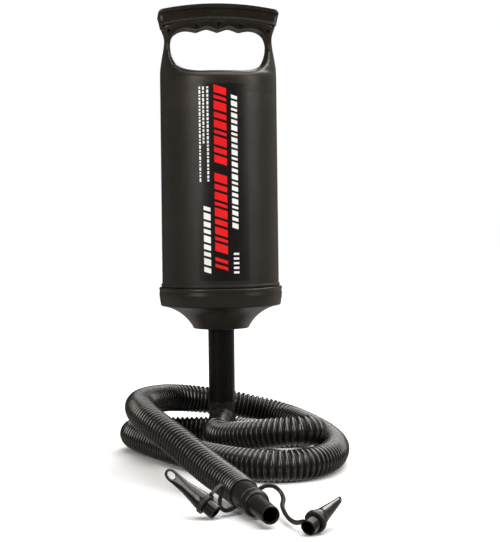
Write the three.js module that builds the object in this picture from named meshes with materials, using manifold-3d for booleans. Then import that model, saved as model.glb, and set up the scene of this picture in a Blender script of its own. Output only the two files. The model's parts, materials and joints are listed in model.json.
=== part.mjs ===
// Double action hand pump: a barrel that slides on a hollow rod, with a corrugated hose and two nozzles.
// Millimetres, +Z up, the front faces -Y. The origin is the centre of the foot's flat underside.
import * as THREE from 'three';
import { mergeVertices } from 'three/addons/utils/BufferGeometryUtils.js';
import Module from 'manifold-3d';

const wasm = await Module();
wasm.setup();

// ---------------------------------------------------------------- driving dimensions

const GAP = 0.3; // between pieces that touch
const BIG_ROUND = 36; // sides of a round piece of the barrel's size
const MID_ROUND = 24; // sides of the piston's pieces
const SMALL_ROUND = 16; // sides of a round piece of the rod's size
const TINY_ROUND = 10; // sides of pins, screws and small holes

const ROD_RADIUS = 13.6;
const ROD_BORE_RADIUS = 11.6;
const ROD_BOTTOM = 50.3;
const ROD_TOP = 288;

const BARREL_RADIUS = 60.5; // at the bead
const BARREL_TOP_RADIUS = 60.1; // under the shoulder, after the mould's draft
const BARREL_BORE_RADIUS = 58.3;
const BARREL_END = 157.4; // open lower end of the barrel
const BEAD_BOTTOM = 170.4;
const BEAD_TOP = 174;
const SHOULDER = 372; // where the barrel starts to narrow into the handle
const BULKHEAD_BOTTOM = 384;
const INTAKE_HOLE_CIRCLE = 18;

const SEAM_TOP = 443.2; // the grip's seam, an arc across the handle
const SEAM_RADIUS = 270;
const GRIP_TOP = 459.2;
const GRIP_TOP_RADIUS = 292;
const GRIP_HALF_DEPTH = 21;
const TONGUE_HALF_DEPTH = 11.7;

const PISTON_RADIUS = 57.2;
const PISTON_BOTTOM = 274.2;
const PISTON_TOP = 304;
const PISTON_HOLE_CIRCLE = 26;
const PISTON_SCREW_CIRCLE = 40;

const HOSE_RADIUS = 14.5;
const SPIGOT_BORE = 5; // bore of a nozzle's mouth
const SPIGOT_RADIUS = 6.3;

// ---------------------------------------------------------------- solids

// A closed body for boolean work, from any closed geometry.
function solid(geometry) {
  const bare = geometry.clone();
  bare.deleteAttribute('normal');
  bare.deleteAttribute('uv');
  const merged = mergeVertices(bare, 1e-3);
  const points = Float32Array.from(merged.attributes.position.array);
  const corners = merged.index.array;
  const point = (i) => new THREE.Vector3().fromArray(points, 3 * i);
  const kept = [];
  let volume = 0;
  for (let i = 0; i < corners.length; i += 3) {
    const [a, b, c] = corners.slice(i, i + 3);
    if (a === b || b === c || c === a) continue;
    kept.push([a, b, c]);
    volume += point(a).dot(point(b).cross(point(c)));
  }
  const outward = volume > 0 ? kept : kept.map(([a, b, c]) => [a, c, b]);
  return new wasm.Manifold(new wasm.Mesh({
    numProp: 3,
    vertProperties: points,
    triVerts: Uint32Array.from(outward.flat()),
  }));
}

function toGeometry(body) {
  const mesh = body.getMesh();
  const geometry = new THREE.BufferGeometry();
  geometry.setAttribute('position', new THREE.BufferAttribute(mesh.vertProperties, 3));
  geometry.setIndex(new THREE.BufferAttribute(mesh.triVerts, 1));
  geometry.computeVertexNormals();
  return geometry;
}

// A half profile of [radius, height] pairs turned about Z. It closes on itself, or runs axis to axis.
function revolve(profile, sides) {
  const points = profile.map(([radius, height]) => new THREE.Vector2(radius, height));
  if (profile[0][0] > 0) points.push(points[0].clone());
  return solid(new THREE.LatheGeometry(points, sides).rotateX(Math.PI / 2));
}

function ring(innerRadius, outerRadius, bottom, top, sides) {
  return revolve([[innerRadius, bottom], [outerRadius, bottom], [outerRadius, top], [innerRadius, top]], sides);
}

function cylinder(radius, start, end, sides) {
  const from = new THREE.Vector3(...start);
  const along = new THREE.Vector3(...end).sub(from);
  const geometry = new THREE.CylinderGeometry(radius, radius, along.length(), sides);
  geometry.rotateX(Math.PI / 2);
  geometry.applyQuaternion(new THREE.Quaternion().setFromUnitVectors(
    new THREE.Vector3(0, 0, 1),
    along.clone().normalize(),
  ));
  const middle = from.addScaledVector(along, 0.5);
  return solid(geometry.translate(middle.x, middle.y, middle.z));
}

function block(low, high) {
  const size = high.map((value, axis) => value - low[axis]);
  const middle = high.map((value, axis) => (value + low[axis]) / 2);
  return solid(new THREE.BoxGeometry(...size).translate(...middle));
}

// An outline of [x, z] points carried along Y.
function prismAlongY(outline, front, back) {
  const shape = new THREE.Shape(outline.map(([x, z]) => new THREE.Vector2(x, z)));
  const geometry = new THREE.ExtrudeGeometry(shape, { depth: back - front, bevelEnabled: false });
  return solid(geometry.rotateX(Math.PI / 2).translate(0, back, 0));
}

// Rings of equal point count joined into one body; flatten gives a ring's points in its own plane.
function loft(rings, flatten) {
  const count = rings[0].length;
  const corners = [];
  for (let level = 0; level + 1 < rings.length; level += 1) {
    for (let i = 0; i < count; i += 1) {
      const a = level * count + i;
      const b = level * count + ((i + 1) % count);
      corners.push(a, b, b + count, a, b + count, a + count);
    }
  }
  const last = (rings.length - 1) * count;
  for (const [a, b, c] of THREE.ShapeUtils.triangulateShape(rings[0].map(flatten), [])) {
    corners.push(c, b, a);
  }
  for (const [a, b, c] of THREE.ShapeUtils.triangulateShape(rings.at(-1).map(flatten), [])) {
    corners.push(last + a, last + b, last + c);
  }
  const geometry = new THREE.BufferGeometry().setFromPoints(rings.flat());
  geometry.setIndex(corners);
  return solid(geometry);
}

// A level ring between an ellipse (squareness 2) and a rounded rectangle (squareness above 2).
function ovalRing([height, halfWidth, halfDepth, squareness]) {
  const soft = (value) => Math.sign(value) * Math.abs(value) ** (2 / squareness);
  return Array.from({ length: BIG_ROUND }, (_, i) => {
    const angle = (2 * Math.PI * i) / BIG_ROUND;
    return new THREE.Vector3(halfWidth * soft(Math.cos(angle)), halfDepth * soft(Math.sin(angle)), height);
  });
}

function ovalLoft(levels) {
  return loft(levels.map(ovalRing), (p) => new THREE.Vector2(p.x, p.y));
}

function circleOf(count, radius) {
  return Array.from({ length: count }, (_, i) => {
    const angle = (2 * Math.PI * (i + 0.5)) / count;
    return [radius * Math.cos(angle), radius * Math.sin(angle)];
  });
}

function drill(body, places, radius, bottom, top) {
  return places.reduce(
    (left, [x, y]) => left.subtract(cylinder(radius, [x, y, bottom], [x, y, top], TINY_ROUND)),
    body,
  );
}

function mirrored(outline) {
  return [...outline, ...outline.filter(([x]) => x > 0).reverse().map(([x, z]) => [-x, z])];
}

function curvePoints(curve, divisions) {
  return curve.getPoints(divisions).map((p) => [p.x, p.y]);
}

// ---------------------------------------------------------------- the assembly

const pump = new THREE.Group();

const plastic = (color, roughness) => new THREE.MeshStandardMaterial({ color, roughness, metalness: 0 });
const steel = new THREE.MeshStandardMaterial({ color: 0x9a9a98, roughness: 0.35, metalness: 1 });
const bodyBlack = plastic(0x262321, 0.45);
const gripBlack = plastic(0x2b2825, 0.5);
const hoseBlack = plastic(0x24221f, 0.35);
const nozzleBlack = plastic(0x1c1b1a, 0.25);
const tetherBlack = plastic(0x35332f, 0.5);
const rubber = plastic(0x1a1a1a, 0.8);
const innerWhite = plastic(0xd9d7d0, 0.5);
const labelRed = plastic(0xb1262a, 0.4);

function add(name, body, material, parent = pump) {
  const mesh = new THREE.Mesh(toGeometry(body), material);
  mesh.name = name;
  parent.add(mesh);
  return mesh;
}

// A group whose +Z runs along the axis from the origin point, with its -Y side turned to the front.
function stationAlong(origin, axis) {
  const z = new THREE.Vector3(...axis).normalize();
  const x = new THREE.Vector3(0, 1, 0).cross(z).normalize();
  const y = z.clone().cross(x);
  const group = new THREE.Group();
  group.setRotationFromMatrix(new THREE.Matrix4().makeBasis(x, y, z));
  group.position.set(...origin);
  pump.add(group);
  return group;
}

// ---------------------------------------------------------------- foot and rod

const NECK_ORIGIN = [0, 0, 35.9];
const NECK_AXIS = [-0.2008, -0.9448, -0.2588];
const NECK_RADIUS = 12.6;
const NECK_SHOULDER = 18.4; // where the hose cuff stops on the neck
const CUFF_END = 38;

const alongNeck = (distance) => NECK_ORIGIN.map((value, axis) => value + distance * NECK_AXIS[axis]);

function footElbow() {
  const outside = revolve([
    [0, 0],
    [19.5, 0],
    [19.5, 4],
    [16, 6.5],
    [14, 12],
    [14, 33],
    [ROD_RADIUS, 36],
    [ROD_RADIUS, ROD_BOTTOM - GAP],
    [ROD_BORE_RADIUS - 0.4, ROD_BOTTOM - GAP],
    [ROD_BORE_RADIUS - 0.4, 66],
    [0, 66],
  ], SMALL_ROUND);
  return outside
    .add(cylinder(NECK_RADIUS, NECK_ORIGIN, alongNeck(NECK_SHOULDER), SMALL_ROUND))
    .add(cylinder(10, NECK_ORIGIN, alongNeck(28), SMALL_ROUND))
    .subtract(cylinder(8, [0, 0, 30], [0, 0, 67], SMALL_ROUND))
    .subtract(cylinder(8, NECK_ORIGIN, alongNeck(29), SMALL_ROUND))
    .subtract(ring(9.6, 12, 57.1, 59.3, SMALL_ROUND));
}

add('foot_elbow', footElbow(), bodyBlack);
add('elbow_seal', solid(new THREE.TorusGeometry(10.6, 0.75, 6, SMALL_ROUND).translate(0, 0, 58.2)), rubber);
add('rod_tube', ring(ROD_BORE_RADIUS, ROD_RADIUS, ROD_BOTTOM, ROD_TOP, SMALL_ROUND), bodyBlack);

// ---------------------------------------------------------------- piston

const CUP_TOP = PISTON_BOTTOM + 4;
const LID_BOTTOM = PISTON_TOP - 3.7;

function pistonCup() {
  const rimTop = LID_BOTTOM - GAP;
  const bosses = circleOf(4, PISTON_SCREW_CIRCLE);
  const cup = revolve([
    [ROD_RADIUS + GAP, PISTON_BOTTOM],
    [PISTON_RADIUS, PISTON_BOTTOM],
    [PISTON_RADIUS, CUP_TOP],
    [49, CUP_TOP],
    [49, rimTop],
    [46, rimTop],
    [46, CUP_TOP],
    [17, CUP_TOP],
    [17, ROD_TOP],
    [ROD_RADIUS + GAP, ROD_TOP],
  ], MID_ROUND);
  const bossed = bosses.reduce(
    (left, [x, y]) => left.add(cylinder(4, [x, y, CUP_TOP - 1], [x, y, 296.7], TINY_ROUND)),
    drill(cup, circleOf(6, PISTON_HOLE_CIRCLE), 4, PISTON_BOTTOM - 1, CUP_TOP + 1),
  );
  return drill(bossed, bosses, 1.8, 284, 298);
}

function pistonLid() {
  const lid = revolve([
    [0, 297],
    [14, 297],
    [14, 292],
    [17, 292],
    [17, 297],
    [45.7, 297],
    [45.7, LID_BOTTOM],
    [PISTON_RADIUS, LID_BOTTOM],
    [PISTON_RADIUS, PISTON_TOP - 1],
    [PISTON_RADIUS - 1, PISTON_TOP],
    [0, PISTON_TOP],
  ], MID_ROUND);
  const vented = drill(lid, circleOf(6, PISTON_HOLE_CIRCLE), 4, 296, PISTON_TOP + 1);
  const bored = drill(vented, circleOf(4, PISTON_SCREW_CIRCLE), 1.8, 296, PISTON_TOP + 1);
  return drill(bored, circleOf(4, PISTON_SCREW_CIRCLE), 3.9, PISTON_TOP - 2.6, PISTON_TOP + 1);
}

function pistonSeal() {
  const outer = BARREL_BORE_RADIUS - 2 * GAP;
  const bottom = CUP_TOP + GAP;
  const top = LID_BOTTOM - GAP;
  return revolve([
    [49.3, bottom],
    [outer, bottom],
    [outer, bottom + 2.5],
    [outer - 2.5, bottom + 4.5],
    [outer - 2.5, top - 4.5],
    [outer, top - 2.5],
    [outer, top],
    [49.3, top],
  ], MID_ROUND);
}

function pistonScrew([x, y]) {
  const headBottom = PISTON_TOP - 2.6 + GAP;
  const screw = revolve([
    [0, 286],
    [1.5, 286],
    [1.5, headBottom],
    [3.6, headBottom],
    [3.6, PISTON_TOP - 0.1],
    [0, PISTON_TOP - 0.1],
  ], TINY_ROUND);
  return screw.translate([x, y, 0]);
}

add('piston_cup', pistonCup(), innerWhite);
add('piston_lid', pistonLid(), innerWhite);
add('piston_seal', pistonSeal(), rubber);
circleOf(4, PISTON_SCREW_CIRCLE).forEach((place, i) => {
  add(`piston_screw_${i + 1}`, pistonScrew(place), steel);
});
add('lower_outlet_flap', ring(18, 34, CUP_TOP + GAP, CUP_TOP + GAP + 1.5, MID_ROUND), rubber);
add('upper_outlet_flap', ring(18, 34, 297 - GAP - 1.5, 297 - GAP, MID_ROUND), rubber);

// ---------------------------------------------------------------- barrel and handle

// [height, half width, half depth, squareness] of the shell's outside, from its open end to the grip
const SHELL_LEVELS = [
  [BARREL_END, BARREL_RADIUS - 0.3, BARREL_RADIUS - 0.3, 2],
  [BEAD_BOTTOM, BARREL_RADIUS - 0.3, BARREL_RADIUS - 0.3, 2],
  [BEAD_BOTTOM + 0.5, BARREL_RADIUS + 1, BARREL_RADIUS + 1, 2],
  [BEAD_TOP - 0.5, BARREL_RADIUS + 1, BARREL_RADIUS + 1, 2],
  [BEAD_TOP, BARREL_RADIUS, BARREL_RADIUS, 2],
  [SHOULDER, BARREL_TOP_RADIUS, BARREL_TOP_RADIUS, 2],
  [381, BARREL_TOP_RADIUS, 59.3, 2],
  [386, BARREL_TOP_RADIUS, 56.8, 2],
  [390, 60, 52, 2],
  [394, 59.8, 46, 2.1],
  [399, 59.1, 38, 2.3],
  [407, 57.8, 29, 2.6],
  [415.4, 56.2, 22.5, 3.2],
  [423.7, 55.3, 19.7, 4.5],
  [429, 56, 19.2, 5.4],
  [434.5, 57.9, 19, 6],
  [440, 59.6, 19, 6],
  [446, 61.2, 19.3, 6],
];

const BORE_LEVELS = [
  [BARREL_END - 5, BARREL_BORE_RADIUS, BARREL_BORE_RADIUS, 2],
  [378, BARREL_BORE_RADIUS, BARREL_BORE_RADIUS - 0.2, 2],
  [BULKHEAD_BOTTOM, BARREL_BORE_RADIUS - 0.8, 55, 2],
];

// right half of the finger opening, from its floor round to the scalloped finger grip
const OPENING_HALF = [
  [0, 388.7],
  [24, 389],
  [36, 392],
  [43, 397.5],
  [47.5, 405],
  [49.4, 415],
  [49, 422],
  [46.5, 429],
  [41, 433.2],
  [34, 435],
  [27, 434.3],
  [22, 433.4],
  [16.5, 435.3],
  [11, 436.7],
  [5.5, 435.3],
  [0, 433.4],
];

const seamHeight = (x) => SEAM_TOP - SEAM_RADIUS + Math.sqrt(SEAM_RADIUS ** 2 - x ** 2);
const gripTopHeight = (x) => GRIP_TOP - GRIP_TOP_RADIUS + Math.sqrt(GRIP_TOP_RADIUS ** 2 - x ** 2);

const ARC_STATIONS = Array.from({ length: 13 }, (_, i) => -66 + 11 * i);

// Right half of the tongue that the grip cap pushes into the handle, with a foot at each pin.
function tongueHalf(grow) {
  const bottom = 439 - grow;
  const footBottom = 435.4 - grow;
  const legBottom = 429.5 - grow;
  return [
    [0, footBottom],
    [2.2 + grow, footBottom],
    [2.2 + grow, bottom],
    [20.2 - grow, bottom],
    [20.2 - grow, footBottom],
    [24.6 + grow, footBottom],
    [24.6 + grow, bottom],
    [48.6 - grow, bottom],
    [48.6 - grow, legBottom],
    [53 + grow, legBottom],
    [53 + grow, 447],
    [0, 447],
  ];
}

// [x, z, half length] of the five cross pins
const GRIP_PINS = [
  [-50.6, 431.6, 16],
  [-22.4, 436.8, 18],
  [0, 438.2, 18],
  [22.4, 436.8, 18],
  [50.6, 431.6, 16],
];
const GRIP_PIN_RADIUS = 1.2;

function drillGripPins(body) {
  return GRIP_PINS.reduce(
    (left, [x, z]) => left.subtract(cylinder(GRIP_PIN_RADIUS + GAP, [x, -25, z], [x, 25, z], TINY_ROUND)),
    body,
  );
}

const LABEL_BOTTOM = 178;
const LABEL_TOP = 374;
const LABEL_HALF_WIDTH = 25.6;

const barrelRadiusAt = (z) => THREE.MathUtils.mapLinear(z, BEAD_TOP, SHOULDER, BARREL_RADIUS, BARREL_TOP_RADIUS);

// A thin piece of the barrel's wall, from below its surface to above it.
function wallPatch(below, above, margin) {
  const bottom = LABEL_BOTTOM - margin;
  const top = LABEL_TOP + margin;
  const halfWidth = LABEL_HALF_WIDTH + margin;
  const shell = revolve([
    [barrelRadiusAt(bottom) - below, bottom],
    [barrelRadiusAt(bottom) + above, bottom],
    [barrelRadiusAt(top) + above, top],
    [barrelRadiusAt(top) - below, top],
  ], BIG_ROUND);
  return shell.intersect(block([-halfWidth, -70, 0], [halfWidth, 0, 500]));
}

function barrelShell() {
  const aboveSeam = [...ARC_STATIONS.map((x) => [x, seamHeight(x)]), [66, 480], [-66, 480]];
  const hollow = ovalLoft(SHELL_LEVELS)
    .subtract(prismAlongY(aboveSeam, -70, 70))
    .subtract(prismAlongY(mirrored(OPENING_HALF), -70, 70))
    .subtract(ovalLoft(BORE_LEVELS))
    .subtract(prismAlongY(mirrored(tongueHalf(GAP)), -TONGUE_HALF_DEPTH - GAP, TONGUE_HALF_DEPTH + GAP))
    .subtract(cylinder(4.3, [0, 0, 380], [0, 0, 395], TINY_ROUND))
    .subtract(cylinder(6.6, [0, 0, 386.9], [0, 0, 395], TINY_ROUND))
    .subtract(wallPatch(0.6, 2, GAP));
  return drillGripPins(drill(hollow, circleOf(6, INTAKE_HOLE_CIRCLE), 4, 380, 395));
}

// The cap's cross section at one station of the arc: flange, cove, then flaring out to the seam.
function gripCapSection(x) {
  const top = gripTopHeight(x);
  const seam = seamHeight(x) + GAP;
  const side = [
    [18, seam],
    [16.6, seam + 2.4],
    [15, seam + 6.5],
    [15, top - 5],
    [GRIP_HALF_DEPTH, top - 4.2],
    [GRIP_HALF_DEPTH, top],
  ];
  const otherSide = side.map(([y, z]) => [-y, z]).reverse();
  return [...side, ...otherSide].map(([y, z]) => new THREE.Vector3(x, y, z));
}

function gripCap() {
  const bar = loft(ARC_STATIONS.map(gripCapSection), (p) => new THREE.Vector2(p.y, p.z));
  const ends = prismAlongY(mirrored([[0, 425], [58.7, 434], [61.9, 448.5], [61, 452], [57, 456], [0, 470]]), -30, 30);
  const planLevels = [[420, 62.2, GRIP_HALF_DEPTH, 6], [470, 62.2, GRIP_HALF_DEPTH, 6]];
  const tongue = prismAlongY(mirrored(tongueHalf(0)), -TONGUE_HALF_DEPTH, TONGUE_HALF_DEPTH);
  return drillGripPins(bar.intersect(ends).intersect(ovalLoft(planLevels)).add(tongue));
}

add('barrel_shell', barrelShell(), bodyBlack);
add('grip_cap', gripCap(), gripBlack);
GRIP_PINS.forEach(([x, z, halfLength], i) => {
  const pin = cylinder(GRIP_PIN_RADIUS, [x, -halfLength, z], [x, halfLength, z], TINY_ROUND);
  add(`grip_pin_${i + 1}`, pin, steel);
});
add('label', wallPatch(0.3, 0.1, 0), labelRed);

function topIntakeButton() {
  return revolve([
    [0, 380.2],
    [8, 380.2],
    [8, 381.2],
    [4, 381.2],
    [4, 387.2],
    [6.2, 387.2],
    [5, 388.4],
    [0, 388.4],
  ], TINY_ROUND);
}

add('top_intake_flap', ring(4.6, 26, BULKHEAD_BOTTOM - GAP - 1.2, BULKHEAD_BOTTOM - GAP, MID_ROUND), rubber);
add('top_intake_button', topIntakeButton(), rubber);

// ---------------------------------------------------------------- end cap, guide and seals

const CAP_BOTTOM = 126.9; // the trumpet's mouth
const CAP_MOUTH_RADIUS = 28.6;
const CAP_SKIRT_BOTTOM = 151.2;
const CAP_SKIRT_TOP = 170;
const CAP_SKIRT_RADIUS = 64; // at its widest, near its top
const PLATE_BOTTOM = 152.3;
const PLATE_TOP = PLATE_BOTTOM + 3;
const TOWER_TOP = 184;

function endCap() {
  const trumpet = new THREE.QuadraticBezierCurve(
    new THREE.Vector2(CAP_MOUTH_RADIUS + 0.4, CAP_BOTTOM + 0.7),
    new THREE.Vector2(39.5, 146.8),
    new THREE.Vector2(CAP_SKIRT_RADIUS - 1.8, CAP_SKIRT_BOTTOM),
  );
  const inside = new THREE.QuadraticBezierCurve(
    new THREE.Vector2(55, 152),
    new THREE.Vector2(37.6, 149.2),
    new THREE.Vector2(26.3, 129.6),
  );
  return revolve([
    [ROD_RADIUS + 2, CAP_BOTTOM],
    [CAP_MOUTH_RADIUS, CAP_BOTTOM],
    ...curvePoints(trumpet, 7),
    [CAP_SKIRT_RADIUS - 0.4, CAP_SKIRT_TOP - 9],
    [CAP_SKIRT_RADIUS, CAP_SKIRT_TOP - 2],
    [CAP_SKIRT_RADIUS - 0.6, CAP_SKIRT_TOP],
    [BARREL_RADIUS + GAP, CAP_SKIRT_TOP],
    [BARREL_RADIUS + GAP, 152],
    ...curvePoints(inside, 4),
    [ROD_RADIUS + 2, CAP_BOTTOM + 2.7],
  ], BIG_ROUND);
}

function guidePlate() {
  const plate = revolve([
    [14.4, PLATE_BOTTOM],
    [59.8, PLATE_BOTTOM],
    [59.8, PLATE_TOP],
    [23.5, PLATE_TOP],
    [23.5, 159],
    [20, 159],
    [20, TOWER_TOP],
    [16, TOWER_TOP],
    [16, 164.7],
    [14.4, 164.7],
  ], MID_ROUND);
  return drill(plate, circleOf(6, 33), 4.5, PLATE_BOTTOM - 1, PLATE_TOP + 1);
}

function sealRetainer() {
  return revolve([
    [20.3, 176],
    [23, 176],
    [23, 190],
    [14.2, 190],
    [14.2, 188.3],
    [20.3, 188.3],
  ], MID_ROUND);
}

add('end_cap', endCap(), bodyBlack);
add('guide_plate', guidePlate(), innerWhite);
add('guide_bush', ring(ROD_RADIUS + GAP, 15.7, 165, TOWER_TOP - GAP, SMALL_ROUND), innerWhite);
add('rod_seal', ring(ROD_RADIUS + GAP, 19.7, TOWER_TOP + GAP, 188, SMALL_ROUND), rubber);
add('seal_retainer', sealRetainer(), innerWhite);
add('cap_gasket', ring(56.5, 59.8, PLATE_TOP + GAP, BARREL_END - GAP, MID_ROUND), rubber);
add('lower_intake_flap', ring(24, 42, PLATE_TOP + GAP, PLATE_TOP + GAP + 1.5, MID_ROUND), rubber);

// ---------------------------------------------------------------- hose

const HOSE_ROUTE = [
  [-7.7, -36.2, 26],
  [-9.4, -44.2, 24],
  [-9, -57, 23.4],
  [-3, -75, 25],
  [12, -96, 29],
  [34, -115, 33.5],
  [55, -123.5, 36.2],
  [67, -123, 36.8],
  [75.5, -116.5, 36.1],
  [79.2, -104, 33.9],
  [78, -86, 30],
  [68, -50, 22],
  [52, -18, 16.8],
  [35, 6, 15],
  [12, 27, 14.5],
  [-20, 34.5, 14.5],
  [-60, 37, 15],
  [-78, 32.5, 16],
  [-89.5, 19, 17],
  [-92, 3, 17.5],
  [-86.5, -14, 16.5],
  [-63, -61, 14.5],
  [-45, -95, 14.5],
  [-17, -138, 14.5],
  [12, -168, 14.5],
  [37, -181, 14.5],
  [64, -174.5, 14.5],
  [88, -146, 14.5],
  [102, -100, 14.5],
  [104.9, -62, 14.9],
  [101, -38, 17.5],
  [94.4, -12, 19.6],
  [86.1, 12, 22],
  [75.9, 32, 24.7],
  [61.3, 46, 28.4],
  [36.8, 54, 34.4],
  [1, 52, 42.1],
  [-30, 45, 47.3],
  [-52.3, 30, 50.8],
  [-68, 8, 52.9],
  [-80.2, -20, 54.3],
  [-86.4, -52, 54.8],
  [-85.7, -84, 54],
  [-79.5, -114, 50.4],
  [-67.4, -146, 44.5],
  [-53.5, -175, 37.2],
  [-39.7, -204, 29],
  [-27.6, -232, 22.4],
  [-15.9, -262, 17.8],
  [-10.2, -279, 16],
  [-6.9, -293, 15],
  [-5.5, -299.1, 14.6],
];

function hose() {
  const route = new THREE.CatmullRomCurve3(
    HOSE_ROUTE.map((p) => new THREE.Vector3(...p)),
    false,
    'centripetal',
  );
  route.arcLengthDivisions = 2000;
  const section = new THREE.Shape(circleOf(8, HOSE_RADIUS).map(([x, y]) => new THREE.Vector2(x, y)));
  return solid(new THREE.ExtrudeGeometry(section, { steps: 80, bevelEnabled: false, extrudePath: route }));
}

function hoseCuff() {
  const sleeve = cylinder(12.2, alongNeck(NECK_SHOULDER + GAP), alongNeck(CUFF_END), SMALL_ROUND);
  return sleeve.subtract(cylinder(10.4, NECK_ORIGIN, alongNeck(CUFF_END + 1), SMALL_ROUND));
}

add('hose_cuff', hoseCuff(), hoseBlack);
add('hose', hose(), hoseBlack);

// ---------------------------------------------------------------- hose connector

const CONNECTOR_ORIGIN = HOSE_ROUTE.at(-1);
const CONNECTOR_AXIS = [0.223, -0.973, -0.056];
const CONNECTOR_LENGTH = 66;
const CONNECTOR_CUFF_RADIUS = 11.3;
const CONNECTOR_STEP = 34; // from the hose's end to the step down to the spigot
const CONNECTOR_SPIGOT_RADIUS = 8.1; // at the step
const CONNECTOR_TIP_RADIUS = 7.5;
const CONNECTOR_BORE = 5.8;

function hoseConnector() {
  return revolve([
    [CONNECTOR_BORE, 0.4],
    [CONNECTOR_CUFF_RADIUS, 0.4],
    [CONNECTOR_CUFF_RADIUS, CONNECTOR_STEP - 2.4],
    [CONNECTOR_CUFF_RADIUS - 1.4, CONNECTOR_STEP],
    [CONNECTOR_SPIGOT_RADIUS, CONNECTOR_STEP + 0.4],
    [CONNECTOR_TIP_RADIUS, CONNECTOR_LENGTH - 1],
    [CONNECTOR_TIP_RADIUS - 0.4, CONNECTOR_LENGTH],
    [CONNECTOR_BORE, CONNECTOR_LENGTH],
  ], SMALL_ROUND);
}

add('hose_connector', hoseConnector(), bodyBlack, stationAlong(CONNECTOR_ORIGIN, CONNECTOR_AXIS));

// ---------------------------------------------------------------- nozzles and their tethers

const SMALL_NOZZLE = { mouth: [34.2, -388.3, 6.3], axis: [0.628, 0.733, 0.263] };
const LARGE_NOZZLE = { mouth: [-30.4, -322.6, 5.4], axis: [-0.7, 0.455, 0.548] };
const NOZZLE_SHOULDER = 13.5; // from the mouth to the step that the tether's ring sits against
const TETHER_RING_WIDTH = 3.5;
const TETHER_RING_RADIUS = 9;

const SMALL_TETHER_ROUTE = [
  [6.8, -303.6, 19.4],
  [12.4, -302.8, 21.6],
  [18.6, -303, 21],
  [23.3, -305, 17.4],
  [25.4, -310, 12.8],
  [23.5, -319, 8.7],
  [23.5, -332, 6.3],
  [25, -350, 4.9],
  [28, -366, 5.5],
  [32.4, -377, 8.6],
];

const LARGE_TETHER_ROUTE = [
  [-13.9, -308, 6.6],
  [-19, -311, 4.6],
  [-22.5, -313.5, 4.9],
  [-25.6, -313.5, 7.5],
  [-26.2, -311.5, 11.3],
  [-25, -309, 17.6],
  [-23.6, -308.4, 21.6],
  [-25, -310, 24.2],
  [-29.4, -315, 22.8],
  [-34.2, -320, 19.2],
];

function smallNozzle() {
  const outside = revolve([
    [0, 0],
    [SPIGOT_RADIUS, 0],
    [SPIGOT_RADIUS, NOZZLE_SHOULDER],
    [7.4, NOZZLE_SHOULDER],
    [7.3, 17],
    [6, 21.5],
    [4.6, 32],
    [2.4, 51],
    [1.9, 54],
    [0, 54],
  ], SMALL_ROUND);
  const bore = revolve([[0, -1], [SPIGOT_BORE, -1], [SPIGOT_BORE, 13], [1.7, 28], [1.2, 56], [0, 56]], TINY_ROUND);
  const tipSlit = block([0.6, -0.8, 44], [4.5, 0.8, 53]);
  return outside.subtract(bore).subtract(tipSlit);
}

const LOOP_CENTRE = 48.6; // of the ring-shaped tip of the large nozzle, from its mouth
const LOOP_HALF_WIDTH = 4.9;
const LOOP_HALF_LENGTH = 6.4;
const LOOP_WALL = 2.2;

function largeNozzle() {
  const outside = revolve([
    [0, 0],
    [SPIGOT_RADIUS, 0],
    [SPIGOT_RADIUS, NOZZLE_SHOULDER],
    [7.6, NOZZLE_SHOULDER],
    [7.4, 17],
    [6.2, 24],
    [5.3, 31],
    [4.9, 38],
    [3, 42.5],
    [0, 42.5],
  ], SMALL_ROUND);
  const bore = revolve([[0, -1], [SPIGOT_BORE, -1], [SPIGOT_BORE, 14], [3.6, 33], [0, 36]], TINY_ROUND);
  const oval = (halfWidth, halfLength) => Array.from({ length: SMALL_ROUND }, (_, i) => {
    const angle = (2 * Math.PI * i) / SMALL_ROUND;
    return [halfWidth * Math.cos(angle), LOOP_CENTRE + halfLength * Math.sin(angle)];
  });
  return outside
    .add(prismAlongY(oval(LOOP_HALF_WIDTH, LOOP_HALF_LENGTH), -1.6, 1.6))
    .subtract(prismAlongY(oval(LOOP_HALF_WIDTH - LOOP_WALL, LOOP_HALF_LENGTH - LOOP_WALL), -6, 6))
    .subtract(bore);
}

// A strap of rectangular section along its route, joined to a ring round the nozzle's spigot.
function tether(route, nozzle) {
  const section = new THREE.Shape([[-1.5, -1.6], [1.5, -1.6], [1.5, 1.6], [-1.5, 1.6]].map(
    ([x, y]) => new THREE.Vector2(x, y),
  ));
  const path = new THREE.CatmullRomCurve3(route.map((p) => new THREE.Vector3(...p)), false, 'centripetal');
  const strap = solid(new THREE.ExtrudeGeometry(section, { steps: 26, bevelEnabled: false, extrudePath: path }));
  const axis = new THREE.Vector3(...nozzle.axis).normalize();
  const at = (distance) => new THREE.Vector3(...nozzle.mouth).addScaledVector(axis, distance).toArray();
  const ringTop = NOZZLE_SHOULDER - GAP;
  return strap
    .add(cylinder(TETHER_RING_RADIUS, at(ringTop - TETHER_RING_WIDTH), at(ringTop), SMALL_ROUND))
    .subtract(cylinder(SPIGOT_RADIUS + 0.4, at(0), at(30), SMALL_ROUND));
}

add('nozzle_small', smallNozzle(), nozzleBlack, stationAlong(SMALL_NOZZLE.mouth, SMALL_NOZZLE.axis));
add('nozzle_large', largeNozzle(), nozzleBlack, stationAlong(LARGE_NOZZLE.mouth, LARGE_NOZZLE.axis));
add('tether_small', tether(SMALL_TETHER_ROUTE, SMALL_NOZZLE), tetherBlack);
add('tether_large', tether(LARGE_TETHER_ROUTE, LARGE_NOZZLE), tetherBlack);

export default pump;
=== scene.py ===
"""Looks of the double action hand pump.

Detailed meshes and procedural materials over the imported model. Shapes are written in millimetres and
become metres when a mesh is made. +Z is up and the front faces -Y.
"""

import json
import math

import bmesh
import bpy
import numpy as np
import openvdb
from mathutils import Matrix, Vector


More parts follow.
